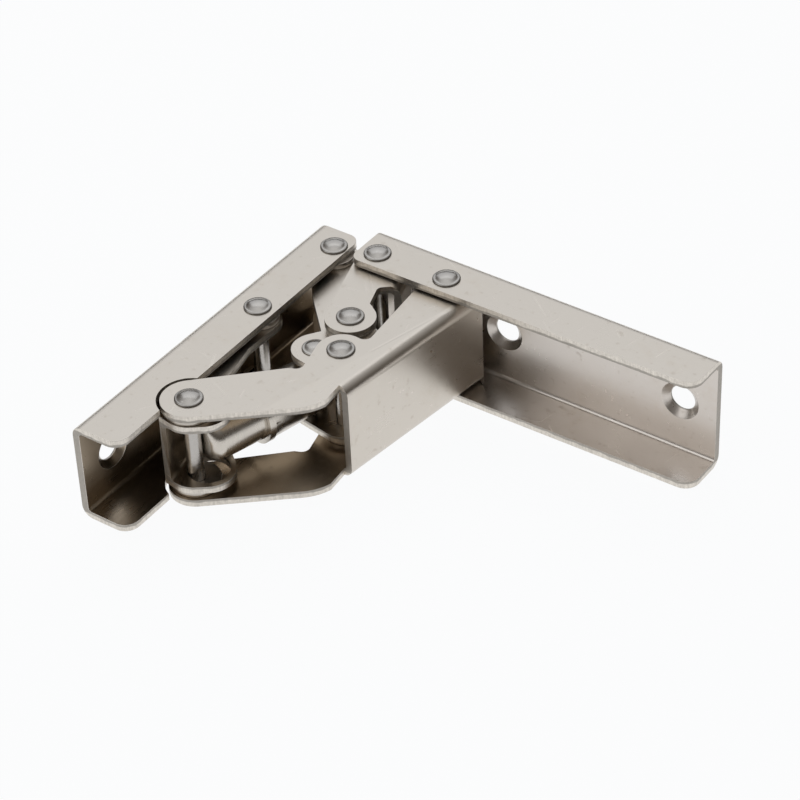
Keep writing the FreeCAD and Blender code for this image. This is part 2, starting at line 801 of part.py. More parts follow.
os.makedirs("parts", exist_ok=True)
for piece in pieces:
    piece.Shape.exportStep(os.path.join("parts", piece.Label + ".step"))
    print(piece.Label, len(piece.Shape.Solids), round(piece.Shape.Volume, 2))
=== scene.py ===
"""Looks of a folding bracket for the drop leaf of a table.

The bracket lies folded at a right angle on a pale table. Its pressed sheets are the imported
solids with their sheared edges eased and worn, its rivets are turned and hammered, and every
surface has satin nickel plate over the marks that pressing, shearing or drawing left in it.
Lengths are in metres, unless a name says that they are in millimetres.
"""

from __future__ import annotations

import json
import logging
import math
from dataclasses import dataclass
from dataclasses import field
from enum import Enum

import bmesh
import bpy
from mathutils import Matrix
from mathutils import Vector
from mathutils import noise
from mathutils.bvhtree import BVHTree

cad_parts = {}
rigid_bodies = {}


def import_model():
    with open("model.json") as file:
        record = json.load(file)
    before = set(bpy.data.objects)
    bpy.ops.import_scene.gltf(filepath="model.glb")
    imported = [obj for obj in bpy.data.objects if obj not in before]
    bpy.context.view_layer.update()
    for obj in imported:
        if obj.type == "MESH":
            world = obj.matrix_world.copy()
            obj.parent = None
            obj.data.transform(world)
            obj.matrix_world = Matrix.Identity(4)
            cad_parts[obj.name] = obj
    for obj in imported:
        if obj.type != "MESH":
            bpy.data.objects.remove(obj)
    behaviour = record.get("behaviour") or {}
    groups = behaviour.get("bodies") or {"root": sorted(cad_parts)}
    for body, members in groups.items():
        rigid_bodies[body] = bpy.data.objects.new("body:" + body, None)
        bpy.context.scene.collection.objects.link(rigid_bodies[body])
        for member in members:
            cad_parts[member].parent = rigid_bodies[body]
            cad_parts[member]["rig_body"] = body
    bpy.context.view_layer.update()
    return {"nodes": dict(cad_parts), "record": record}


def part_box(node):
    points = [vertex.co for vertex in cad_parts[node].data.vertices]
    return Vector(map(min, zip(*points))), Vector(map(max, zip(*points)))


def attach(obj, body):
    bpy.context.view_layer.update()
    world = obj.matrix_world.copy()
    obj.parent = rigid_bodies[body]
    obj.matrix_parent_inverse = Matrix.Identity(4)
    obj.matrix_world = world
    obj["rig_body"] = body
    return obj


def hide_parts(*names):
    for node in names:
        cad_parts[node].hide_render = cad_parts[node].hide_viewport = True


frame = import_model()

logging.basicConfig(level=logging.INFO, format="%(message)s")
log = logging.getLogger("bracket")

MM = 0.001
SHEET_MM = 1.5
MIDDLE_HEIGHT = 13.6 * MM
PIVOTS = ("fixed_front", "fixed_rear", "leaf_front", "leaf_rear", "elbow", "centre", "arm_end")


class Skin(Enum):
    """What made a face of a pressed sheet, by the material slot that it takes."""

    ROLLED = 0
    SHEARED = 1
    WORN = 2
    # Faces that look into the fold, whose colour is darkened as painted shade.
    INSIDE = 3


class Level(Enum):
    """Half of a folded sheet's height, from the bracket's middle to its outer face, in mm."""

    LEAF = 12.5
    BODY = 10.6
    CENTRE = 7.8


class Wire:
    """A number on its way through a material, which takes part in plain arithmetic."""

    def __init__(self, recipe: Recipe, socket: bpy.types.NodeSocket) -> None:
        """Wraps one output socket of a recipe's node."""
        self.recipe = recipe
        self.socket = socket

    def joined(self, operation: str, *others: float | Wire) -> Wire:
        """Combines this number with others in one Math node.

        Args:
            operation: The Math node's operation.
            others: The operation's other numbers or wires, in order.

        Returns:
            The result's wire.
        """
        values = {index: value for index, value in enumerate((self, *others))}
        return self.recipe.node("ShaderNodeMath", {"operation": operation}, values)

    def swapped(self, operation: str, first: float | Wire) -> Wire:
        """Combines another number, placed first, with this one in one Math node."""
        return self.recipe.node("ShaderNodeMath", {"operation": operation}, {0: first, 1: self})

    def __add__(self, other: float | Wire) -> Wire:
        """This plus another."""
        return self.joined("ADD", other)

    def __radd__(self, other: float | Wire) -> Wire:
        """Another plus this."""
        return self.joined("ADD", other)

    def __sub__(self, other: float | Wire) -> Wire:
        """This minus another."""
        return self.joined("SUBTRACT", other)

    def __rsub__(self, other: float | Wire) -> Wire:
        """Another minus this."""
        return self.swapped("SUBTRACT", other)

    def __mul__(self, other: float | Wire) -> Wire:
        """This times another."""
        return self.joined("MULTIPLY", other)

    def __rmul__(self, other: float | Wire) -> Wire:
        """Another times this."""
        return self.joined("MULTIPLY", other)

    def __truediv__(self, other: float | Wire) -> Wire:
        """This over another."""
        return self.joined("DIVIDE", other)

    def __rtruediv__(self, other: float | Wire) -> Wire:
        """Another over this."""
        return self.swapped("DIVIDE", other)

    def __pow__(self, other: float | Wire) -> Wire:
        """This to the power of another."""
        return self.joined("POWER", other)

    def __abs__(self) -> Wire:
        """The size of this number."""
        return self.joined("ABSOLUTE")

    def step(self, low: float, high: float) -> Wire:
        """Rises smoothly from 0 at low to 1 at high.

        Args:
            low: Where the rise starts. It may be above high, and then it is a fall.
            high: Where the rise ends.

        Returns:
            The mask's wire.
        """
        settings = {"interpolation_type": "SMOOTHSTEP"}
        turned = low > high
        ends = (high, low) if turned else (low, high)
        levels = (1.0, 0.0) if turned else (0.0, 1.0)
        values = {
            "Value": self,
            "From Min": ends[0],
            "From Max": ends[1],
            "To Min": levels[0],
            "To Max": levels[1],
        }
        return self.recipe.node("ShaderNodeMapRange", settings, values)


class Recipe:
    """The nodes that one material or the room is made of."""

    def __init__(self, owner: bpy.types.Material | bpy.types.World) -> None:
        """Starts on the nodes of a material or a world.

        Args:
            owner: The material or world.
        """
        self.owner = owner
        self.owner.use_nodes = True
        self.tree = self.owner.node_tree

    @classmethod
    def metal(cls, name: str) -> Recipe:
        """Starts a material with a bare metal shader.

        Args:
            name: The material's name.

        Returns:
            Its recipe.
        """
        recipe = cls(bpy.data.materials.new(name))
        recipe.shader.inputs["Metallic"].default_value = 1.0
        return recipe

    @property
    def shader(self) -> bpy.types.Node:
        """The material's own surface shader."""
        return self.tree.nodes["Principled BSDF"]

    def node(
        self,
        kind: str,
        settings: dict | None = None,
        values: dict | None = None,
        output: int | str = 0,
    ) -> Wire:
        """Adds one node.

        Args:
            kind: The node's type.
            settings: Its own settings. A ramp's stops are (place, colour) pairs under "stops".
            values: Numbers, colours or wires for its input sockets, by name or index.
            output: The output socket to hand on.

        Returns:
            A wire from that output.
        """
        made = self.tree.nodes.new(kind)
        for key, value in (settings or {}).items():
            if key == "stops":
                self.set_stops(made, value)
            else:
                setattr(made, key, value)
        for key, value in (values or {}).items():
            self.plug(made.inputs[key], value)
        return Wire(self, made.outputs[output])

    def plug(self, socket: bpy.types.NodeSocket, value: object) -> None:
        """Feeds a socket with a wire, or sets its own value."""
        if isinstance(value, Wire):
            self.tree.links.new(value.socket, socket)
        else:
            socket.default_value = value

    @staticmethod
    def set_stops(ramp: bpy.types.Node, stops: list[tuple[float, tuple]]) -> None:
        """Gives a colour ramp its stops, of which there are two or more."""
        elements = ramp.color_ramp.elements
        while len(elements) < len(stops):
            elements.new(0.5)
        for element, (place, colour) in zip(elements, stops):
            element.position = place
            element.color = colour

    def place(self, scale: tuple = (1, 1, 1), turn: float = 0.0, centre: tuple = (0, 0, 0)) -> Wire:
        """Object coordinates, moved to a centre, turned about the vertical and scaled.

        Args:
            scale: How much finer than a metre the pattern runs along each axis.
            turn: The direction of the pattern's own x in the frame, in degrees.
            centre: The point of the frame that becomes the pattern's origin.

        Returns:
            The vector's wire.
        """
        plain = self.node("ShaderNodeTexCoord", output="Object")
        moved = self.node(
            "ShaderNodeVectorMath", {"operation": "SUBTRACT"}, {0: plain, 1: centre}
        )
        turned = self.node(
            "ShaderNodeVectorRotate",
            {"rotation_type": "Z_AXIS"},
            {"Vector": moved, "Angle": math.radians(-turn)},
        )
        return self.node("ShaderNodeVectorMath", {"operation": "MULTIPLY"}, {0: turned, 1: scale})

    def parts(self, vector: Wire) -> tuple[Wire, Wire, Wire]:
        """The three numbers of a vector."""
        split = self.node("ShaderNodeSeparateXYZ", values={0: vector})
        outputs = split.socket.node.outputs
        return (Wire(self, outputs[0]), Wire(self, outputs[1]), Wire(self, outputs[2]))

    def cloud(self, vector: Wire, scale: float, detail: float = 3.0, rough: float = 0.55) -> Wire:
        """Soft noise around a half.

        Args:
            vector: Where it is read.
            scale: How many lumps there are in a unit of the vector.
            detail: How many finer layers it has.
            rough: How strong the finer layers are.

        Returns:
            The noise's wire.
        """
        values = {"Vector": vector, "Scale": scale, "Detail": detail, "Roughness": rough}
        return self.node("ShaderNodeTexNoise", None, values)

    def blend(self, share: float | Wire, first: object, second: object) -> Wire:
        """Mixes two colours.

        Args:
            share: How much of the second colour there is, from 0 to 1.
            first: A colour of four numbers, or a wire.
            second: Another.

        Returns:
            The mixed colour's wire.
        """
        settings = {"data_type": "RGBA", "clamp_factor": True}
        return self.node("ShaderNodeMix", settings, {0: share, 6: first, 7: second}, 2)

    def finish(
        self,
        colour: Wire,
        roughness: Wire,
        height: Wire,
        depth: float,
    ) -> bpy.types.Material:
        """Feeds the metal shader.

        Args:
            colour: The plate's colour.
            roughness: Its roughness.
            height: The height of its marks, as a share of their depth.
            depth: The depth of those marks in metres.

        Returns:
            The finished material.
        """
        bump = self.node("ShaderNodeBump", None, {"Distance": depth, "Height": height})
        self.plug(self.shader.inputs["Base Color"], colour)
        self.plug(self.shader.inputs["Roughness"], roughness)
        self.plug(self.shader.inputs["Normal"], bump)
        return self.owner


def shade(colour: tuple[float, float, float], factor: float) -> tuple[float, float, float, float]:
    """A colour made lighter or darker, with full cover."""
    return (*(part * factor for part in colour), 1.0)


@dataclass(frozen=True)
class Crease:
    """A soft line that the press left in a sheet, seen from above.

    A lean above 0 lets the sheet fall away on the left of the line.
    """

    start: tuple[float, float]
    end: tuple[float, float]
    width: float = 1.1 * MM
    rise: float = 0.03 * MM
    lean: float = 0.0
    fade: float = 2.5 * MM


@dataclass(frozen=True)
class RolledPlate:
    """Satin nickel on the rolled faces of a sheet."""

    name: str
    grain: float
    colour: tuple[float, float, float] = (0.655, 0.61, 0.55)
    tarnish: tuple[float, float, float] = (0.56, 0.485, 0.395)
    roughness: float = 0.31
    depth: float = 0.006 * MM
    creases: tuple[Crease, ...] = ()
    handling: tuple[tuple[float, float], ...] = ((24, 0.31), (-38, 0.73), (78, 1.17), (152, 1.9))

    def scratches(self, recipe: Recipe, turn: float, seed: float) -> Wire:
        """Thin handling scratches that run one way and fade in and out.

        Args:
            recipe: The material's recipe.
            turn: Their direction, in degrees.
            seed: A shift that makes each set its own.

        Returns:
            A mask that is 1 in a scratch.
        """
        lines = recipe.cloud(recipe.place((42, 2300, 900), turn, (seed, 0, 0)), 1.0, 1.0)
        patches = recipe.cloud(recipe.place(centre=(0, seed, 0)), 170.0, 1.0)
        return lines.step(0.70, 0.76) * patches.step(0.50, 0.66)

    def material(self) -> bpy.types.Material:
        """Builds the material.

        Returns:
            The rolled face's finish.
        """
        recipe = Recipe.metal(self.name)
        across = recipe.cloud(recipe.place((55, 1500, 1500), self.grain), 1.0, 4.0, 0.6)
        skin = recipe.cloud(recipe.place(), 2100.0, 3.0)
        clouds = recipe.cloud(recipe.place(), 95.0, 4.0, 0.6)
        specks = recipe.cloud(recipe.place(), 620.0, 2.0)
        dull = specks.step(0.62, 0.74)
        sets = [self.scratches(recipe, self.grain + turn, seed) for turn, seed in self.handling]
        marks = sets[0]
        for others in sets[1:]:
            marks = marks.joined("MAXIMUM", others)
        tone = (clouds - 0.5) * 0.5 + (across - 0.5) * 0.35 + 0.5
        colour = recipe.blend(tone, shade(self.colour, 0.93), shade(self.colour, 1.07))
        stained = clouds.step(0.50, 0.72) * specks.step(0.35, 0.60)
        colour = recipe.blend(stained * 0.18, colour, shade(self.tarnish, 1.0))
        colour = recipe.blend(dull * 0.22, colour, shade(self.tarnish, 0.85))
        colour = recipe.blend(marks * 0.5, colour, shade(self.colour, 1.18))
        roughness = (clouds - 0.5) * 0.16 + (across - 0.5) * 0.12 + dull * 0.1 + self.roughness
        height = across * 0.4 + skin * 0.3 - marks * 0.5
        for crease in self.creases:
            height = height + self.fold_line(recipe, crease)
        return recipe.finish(colour, roughness - marks * 0.08, height, self.depth)

    def fold_line(self, recipe: Recipe, crease: Crease) -> Wire:
        """The height of a soft crease along its line and of what leans to its left.

        Args:
            recipe: The material's recipe.
            crease: The crease.

        Returns:
            The height's wire, as a share of the marks' depth.
        """
        run = Vector(crease.end) - Vector(crease.start)
        turn = math.degrees(math.atan2(run.y, run.x))
        x, y, _ = recipe.parts(recipe.place(turn=turn, centre=(*crease.start, 0)))
        ridge = abs(y).step(crease.width, 0.0)
        ends = x.step(0.0, crease.fade) * x.step(run.length, run.length - crease.fade)
        fall = y.joined("MAXIMUM", 0.0) * (-crease.lean / self.depth)
        return ridge * ends * (crease.rise / self.depth) + fall


@dataclass(frozen=True)
class ShearedEdge:
    """Nickel over an edge that was sheared: a burnished band and a torn, dull one."""

    name: str
    level: Level
    colour: tuple[float, float, float] = (0.63, 0.59, 0.535)
    roughness: float = 0.40
    depth: float = 0.03 * MM

    def material(self) -> bpy.types.Material:
        """Builds the material.

        Returns:
            The sheared edge's finish.
        """
        recipe = Recipe.metal(self.name)
        _, _, z = recipe.parts(recipe.place(centre=(0, 0, MIDDLE_HEIGHT)))
        below = (self.level.value * MM - abs(z)) / (SHEET_MM * MM)
        wander = (recipe.cloud(recipe.place(), 420.0, 2.0) - 0.5) * 0.5
        torn = (below + wander).step(0.56, 0.74)
        streaks = recipe.cloud(recipe.place((2600, 2600, 160)), 1.0, 3.0, 0.65)
        pits = recipe.cloud(recipe.place(), 3300.0, 3.0, 0.7)
        grit = recipe.cloud(recipe.place(), 1500.0, 3.0, 0.6)
        tone = (streaks * 0.5 + grit * 0.5).step(0.25, 0.75)
        colour = recipe.blend(tone, shade(self.colour, 0.86), shade(self.colour, 1.36))
        colour = recipe.blend(torn * 0.62, colour, shade(self.colour, 0.45))
        roughness = torn * 0.14 + (streaks - 0.5) * 0.2 + self.roughness
        height = streaks * 0.6 + pits * torn + grit * 0.5
        return recipe.finish(colour, roughness, height, self.depth)


@dataclass(frozen=True)
class WornEdge:
    """Nickel rubbed bright along the eased corners of a sheet, with small nicks."""

    name: str
    colour: tuple[float, float, float] = (0.70, 0.665, 0.61)
    roughness: float = 0.27
    depth: float = 0.02 * MM

    def material(self) -> bpy.types.Material:
        """Builds the material.

        Returns:
            The worn corner's finish.
        """
        recipe = Recipe.metal(self.name)
        nicks = recipe.cloud(recipe.place(), 900.0, 3.0, 0.7)
        broad = recipe.cloud(recipe.place(), 150.0, 2.0)
        dark = nicks.step(0.58, 0.70) * broad.step(0.38, 0.60)
        colour = recipe.blend(dark * 0.6, shade(self.colour, 1.0), shade(self.colour, 0.62))
        roughness = dark * 0.22 + (broad - 0.5) * 0.14 + self.roughness
        return recipe.finish(colour, roughness, nicks * -1.0, self.depth)


@dataclass(frozen=True)
class HammeredHead:
    """Nickel on a set rivet: shallow hammer facets, and a rougher rim that is darkened as painted
    shade.
    """

    name: str
    centre: tuple[float, float]
    colour: tuple[float, float, float] = (0.50, 0.48, 0.455)
    roughness: float = 0.25
    depth: float = 0.022 * MM
    painted_shade_rim_start: float = 2.25 * MM
    painted_shade_rim_end: float = 2.66 * MM

    def material(self) -> bpy.types.Material:
        """Builds the material.

        Returns:
            The rivet's finish.
        """
        recipe = Recipe.metal(self.name)
        x, y, _ = recipe.parts(recipe.place(centre=(*self.centre, 0)))
        reach = (x * x + y * y) ** 0.5
        facets = recipe.node(
            "ShaderNodeTexVoronoi",
            {"feature": "SMOOTH_F1"},
            {"Vector": recipe.place(), "Scale": 780.0, "Smoothness": 0.8},
        )
        skin = recipe.cloud(recipe.place(), 1500.0, 3.0)
        clouds = recipe.cloud(recipe.place(), 300.0, 3.0)
        # This rim mask makes the head rougher at its edge and also paints shade there.
        rim = reach.step(self.painted_shade_rim_start, self.painted_shade_rim_end)
        tone = (clouds - 0.5) * 0.6 + (facets - 0.5) * 0.3 + 0.5
        colour = recipe.blend(tone, shade(self.colour, 0.86), shade(self.colour, 1.08))
        # Painted shade: the head's rim is darkened, standing in for the dark outline where the head
        # meets the plate.
        colour = recipe.blend(rim * 0.45, colour, shade(self.colour, 0.50))
        roughness = (clouds - 0.5) * 0.2 + rim * 0.08 + self.roughness
        return recipe.finish(colour, roughness, facets * 0.8 + skin * 0.15, self.depth)


@dataclass(frozen=True)
class DrawnTube:
    """Nickel on the drawn shells of the capsule, with fine rings round their axis."""

    name: str
    axis_point: tuple[float, float]
    turn: float
    colour: tuple[float, float, float] = (0.63, 0.59, 0.535)
    roughness: float = 0.27
    depth: float = 0.012 * MM

    def material(self) -> bpy.types.Material:
        """Builds the material.

        Returns:
            The capsule's finish.
        """
        recipe = Recipe.metal(self.name)
        placed = (*self.axis_point, MIDDLE_HEIGHT)
        rings = recipe.cloud(recipe.place((2600, 60, 60), self.turn, placed), 1.0, 4.0, 0.65)
        draw = recipe.cloud(recipe.place((50, 1500, 1500), self.turn, placed), 1.0, 2.0)
        clouds = recipe.cloud(recipe.place(), 140.0, 3.0)
        scuffs = rings.step(0.60, 0.72) * clouds.step(0.45, 0.62)
        tone = (rings - 0.5) * 0.5 + (clouds - 0.5) * 0.5 + 0.5
        colour = recipe.blend(tone, shade(self.colour, 0.88), shade(self.colour, 1.08))
        colour = recipe.blend(scuffs * 0.4, colour, shade(self.colour, 0.7))
        roughness = (clouds - 0.5) * 0.2 + scuffs * 0.12 + self.roughness
        height = rings * 0.6 + draw * 0.3
        return recipe.finish(colour, roughness, height, self.depth)


@dataclass(frozen=True)
class StampedWasher:
    """Nickel on a stamped washer, duller where the links rub it."""

    name: str
    colour: tuple[float, float, float] = (0.58, 0.54, 0.49)
    roughness: float = 0.34
    depth: float = 0.014 * MM

    def material(self) -> bpy.types.Material:
        """Builds the material.

        Returns:
            The washer's finish.
        """
        recipe = Recipe.metal(self.name)
        rubbed = recipe.cloud(recipe.place(), 500.0, 3.0, 0.6)
        skin = recipe.cloud(recipe.place(), 2400.0, 3.0)
        colour = recipe.blend(rubbed, shade(self.colour, 0.8), shade(self.colour, 1.15))
        roughness = (rubbed - 0.5) * 0.25 + self.roughness
        return recipe.finish(colour, roughness, skin * 0.6 + rubbed * 0.4, self.depth)


@dataclass(frozen=True)
class FreeEnd:
    """Where a folded sheet's web stops, and its plates go on past it."""

    corner_mm: tuple[float, float]
    relief: float = 2.0 * MM
    play: float = 0.05 * MM

    def trim(self, mesh: bmesh.types.BMesh, level: Level, web: Vector) -> int:
        """Draws the plates' corners in to where the bend leaves them.

        Args:
            mesh: The sheet.
            level: Half of its height.
            web: The direction that its web's outer face looks in.

        Returns:
            How many of its corners moved.
        """
        inner = (level.value - SHEET_MM) * MM - self.play
        corner = Vector(self.corner_mm) * MM
        near = [spot for spot in mesh.verts if (spot.co.xy - corner).length < self.play]
        plates = [spot for spot in near if abs(spot.co.z - MIDDLE_HEIGHT) > inner]
        for spot in plates:
            spot.co -= web * self.relief
        return len(plates)


class Shop:
    """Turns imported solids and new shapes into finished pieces."""

    JOIN_REACH = 0.0008 * MM
    SLIVER = 0.0004 * MM
    LEVEL_PLAY = 0.02 * MM
    RAY_START = 0.01 * MM
    SHEARED_REACH = 2.3 * MM
    UPRIGHT_BELOW = 0.06
    INSIDE_BELOW = -0.2
    FLAT_ANGLE = math.radians(0.4)
    SHARP_ANGLE = math.radians(32)
    CORNER_FACES = 2
    SAME_SLOT = -1

    @staticmethod
    def merged(node: str) -> bmesh.types.BMesh:
        """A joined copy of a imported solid.

        Args:
            node: The solid's name.

        Returns:
            Its faces as one closed mesh.
        """
        mesh = bmesh.new()
        mesh.from_mesh(frame["nodes"][node].data)
        bmesh.ops.remove_doubles(mesh, verts=mesh.verts, dist=Shop.JOIN_REACH)
        bmesh.ops.dissolve_degenerate(mesh, edges=mesh.edges, dist=Shop.SLIVER)
        mesh.normal_update()
        return mesh

    @staticmethod
    def mark_skins(mesh: bmesh.types.BMesh, level: Level, web: Vector) -> None:
        """Marks which faces of a folded sheet were sheared, and which lie inside the fold.

        Args:
            mesh: The sheet.
            level: Half of its height.
            web: The direction that its web's outer face looks in.
        """
        tree = BVHTree.FromBMesh(mesh)
        inner = (level.value - SHEET_MM) * MM - Shop.LEVEL_PLAY
        for face in mesh.faces:
            heights = [abs(corner.co.z - MIDDLE_HEIGHT) for corner in face.verts]
            upright = abs(face.normal.z) < Shop.UPRIGHT_BELOW
            centre = face.calc_center_median()
            start = centre - face.normal * Shop.RAY_START
            _, _, _, reach = tree.ray_cast(start, -face.normal)
            deep = reach is not None and reach > Shop.SHEARED_REACH
            sheared = deep or (upright and min(heights) > inner)
            side = math.copysign(1.0, centre.z - MIDDLE_HEIGHT)
            inward = min(face.normal.dot(web), side * face.normal.z)
            rolled = Skin.INSIDE if inward < Shop.INSIDE_BELOW else Skin.ROLLED
            face.material_index = (Skin.SHEARED if sheared else rolled).value

    @staticmethod
    def ease(mesh: bmesh.types.BMesh, width: float, worn: int) -> None:
        """Joins flat faces and rounds every sharp corner.

        Args:
            mesh: The piece.
            width: How far each corner is taken back, in metres.
            worn: The material slot of the rounded corners.
        """
        bmesh.ops.dissolve_limit(
            mesh,
            angle_limit=Shop.FLAT_ANGLE,
            verts=mesh.verts,
            edges=mesh.edges,
            delimit={"MATERIAL"},
        )
        sharp = [
            edge
            for edge in mesh.edges
            if len(edge.link_faces) == 2 and edge.calc_face_angle(0.0) > Shop.SHARP_ANGLE
        ]
        bmesh.ops.bevel(
            mesh,
            geom=sharp,
            offset=width,
            offset_type="OFFSET",
            segments=Shop.CORNER_FACES,
            profile=0.5,
            affect="EDGES",
            clamp_overlap=True,
            material=worn,
        )
        for face in mesh.faces:
            face.smooth = True

    @staticmethod
    def release(
        mesh: bmesh.types.BMesh,
        name: str,
        node: str,
        finishes: list[bpy.types.Material],
    ) -> bpy.types.Object:
        """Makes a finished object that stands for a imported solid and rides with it.

        Args:
            mesh: The piece's faces, which this call frees.
            name: The new object's name.
            node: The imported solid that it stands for.
            finishes: Its materials, in slot order.

        Returns:
            The object.
        """
        data = bpy.data.meshes.new(name)
        mesh.to_mesh(data)
        mesh.free()
        piece = bpy.data.objects.new(name, data)
        bpy.context.scene.collection.objects.link(piece)
        for finish in finishes:
            data.materials.append(finish)
        weighted = piece.modifiers.new("weighted", "WEIGHTED_NORMAL")
        weighted.weight = 100
        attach(piece, frame["nodes"][node]["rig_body"])
        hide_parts(node)
        for part in frame["record"]["subparts"]:
            part["node"] == node
        log.info("%s: %d faces", name, len(data.polygons))
        return piece


@dataclass
class FoldedSheet:
    """One pressed and folded sheet of the linkage."""

    node: str
    level: Level
    grain: float
    web: tuple[float, float]
    # Scales the colour of the faces inside the fold: below 1 it is painted shade.
    inside_painted_shade: tuple[float, float, float] = (0.80, 0.745, 0.67)
    corner: float = 0.2 * MM
    creases: tuple[Crease, ...] = ()
    free_ends: tuple[FreeEnd, ...] = ()

    def build(self) -> bpy.types.Object:
        """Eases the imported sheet's corners and plates it.

        Returns:
            The finished sheet.
        """
        mesh = Shop.merged(self.node)
        web = Vector((*self.web, 0))
        for end in self.free_ends:
            log.info("%s: %d corners drawn in", self.node, end.trim(mesh, self.level, web))
        Shop.mark_skins(mesh, self.level, web)
        Shop.ease(mesh, self.corner, Skin.WORN.value)
        return Shop.release(mesh, self.node + "_plated", self.node, self.finishes())

    def finishes(self) -> list[bpy.types.Material]:
        """The sheet's four finishes, in the order of its skins; the inside one is the rolled finish
        darkened as painted shade.
        """
        # Painted shade: the faces inside the fold take the rolled colour darkened by this scale.
        inner = tuple(part * tone for part, tone in zip(RolledPlate.colour, self.inside_painted_shade))
        return [
            RolledPlate(self.node + "_rolled", self.grain, creases=self.creases).material(),
            ShearedEdge(self.node + "_sheared", self.level).material(),
            WornEdge(self.node + "_worn").material(),
            RolledPlate(self.node + "_inside", self.grain, colour=inner).material(),
        ]


@dataclass
class SetRivet:
    """A rivet with a flattened, hammered dome at each end."""

    node: str
    head_radius: float = 2.7 * MM
    head_height: float = 1.1 * MM
    shank_radius: float = 1.6 * MM
    dome_radius: float = 4.0 * MM
    turns: int = 80
    dome_steps: int = 9
    rim_width: float = 0.45 * MM
    rim_fall: float = 0.62
    foot_height: float = 0.05 * MM
    foot_inset: float = 0.04 * MM
    face_inset: float = 0.12 * MM
    lumps: float = 0.03 * MM
    lumps_per_metre: float = 900.0
    hammered_share: float = 0.8

    def half_section(self, low: float, high: float) -> list[tuple[float, float]]:
        """Points of the rivet's outline from its lower to its upper middle.

        Args:
            low: The height of its lowest point.
            high: The height of its highest point.

        Returns:
            Pairs of radius and height.
        """
        dome = []
        rim = self.head_radius - self.rim_width
        for index in range(self.dome_steps):
            radius = rim * index / (self.dome_steps - 1)
            drop = self.dome_radius - math.sqrt(self.dome_radius**2 - radius**2)
            dome.append((radius, drop))
        shoulder = dome[-1][1]
        left = self.head_height - shoulder
        for angle in (22.5, 45, 67.5, 90):
            turn = math.radians(angle)
            radius = rim + self.rim_width * math.sin(turn)
            dome.append((radius, shoulder + self.rim_fall * left * (1 - math.cos(turn))))
        dome.append((self.head_radius - self.foot_inset, self.head_height - self.foot_height))
        dome.append((self.head_radius - self.face_inset, self.head_height))
        dome.append((self.shank_radius, self.head_height))
        lower = [(radius, low + drop) for radius, drop in dome]
        upper = [(radius, high - drop) for radius, drop in reversed(dome)]
        return lower + upper

    def build(self) -> bpy.types.Object:
        """Turns the rivet about its own axis and hammers its heads.

        Returns:
            The finished rivet.
        """
        low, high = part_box(self.node)
        middle = (low + high) / 2
        section = self.half_section(low.z, high.z)
        mesh = bmesh.new()
        corners = [mesh.verts.new((radius, 0, height)) for radius, height in section]
        for first, second in zip(corners, corners[1:]):
            mesh.edges.new((first, second))
        bmesh.ops.spin(
            mesh,
            geom=mesh.verts[:] + mesh.edges[:],
            cent=(0, 0, 0),
            axis=(0, 0, 1),
            angle=math.tau,
            steps=self.turns,
            use_merge=True,
        )
        bmesh.ops.remove_doubles(mesh, verts=mesh.verts, dist=0.001 * MM)
        self.hammer(mesh, low.z, high.z, Vector((middle.x, middle.y, 0)))
        bmesh.ops.translate(mesh, verts=mesh.verts, vec=(middle.x, middle.y, 0))
        bmesh.ops.recalc_face_normals(mesh, faces=mesh.faces)
        for face in mesh.faces:
            face.smooth = True
        finish = HammeredHead(self.node + "_hammered", (middle.x, middle.y))
        return Shop.release(mesh, self.node + "_set", self.node, [finish.material()])

    def hammer(self, mesh: bmesh.types.BMesh, low: float, high: float, seed: Vector) -> None:
        """Moves the heads' domes in by shallow, uneven blows.

        Args:
            mesh: The turned rivet.
            low: The height of its lowest point.
            high: The height of its highest point.
            seed: A place that makes each rivet its own.
        """
        rim = self.head_height * self.hammered_share
        for corner in mesh.verts:
            under = corner.co.z - low
            over = high - corner.co.z
            near = min(under, over)
            if near > rim:
                continue
            blow = 0.5 + 0.5 * noise.noise((corner.co + seed) * self.lumps_per_metre)
            sink = self.lumps * blow * (1 - near / rim)
            corner.co.z += sink if under < over else -sink


@dataclass
class WasherPair:
    """Two flat washers on one rivet."""

    node: str
    corner: float = 0.1 * MM

    def build(self) -> bpy.types.Object:
        """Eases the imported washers' corners and plates them.

        Returns:
            The finished pair.
        """
        mesh = Shop.merged(self.node)
        Shop.ease(mesh, self.corner, Shop.SAME_SLOT)
        finish = StampedWasher(self.node + "_stamped").material()
        return Shop.release(mesh, self.node + "_plated", self.node, [finish])


@dataclass
class CapsuleShell:
    """One drawn shell of the spring capsule."""

    node: str
    axis_point: tuple[float, float]
    turn: float
    corner: float = 0.12 * MM

    def build(self) -> bpy.types.Object:
        """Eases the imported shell's corners and plates it.

        Returns:
            The finished shell.
        """
        mesh = Shop.merged(self.node)
        Shop.ease(mesh, self.corner, Shop.SAME_SLOT)
        finish = DrawnTube(self.node + "_drawn", self.axis_point, self.turn).material()
        return Shop.release(mesh, self.node + "_plated", self.node, [finish])


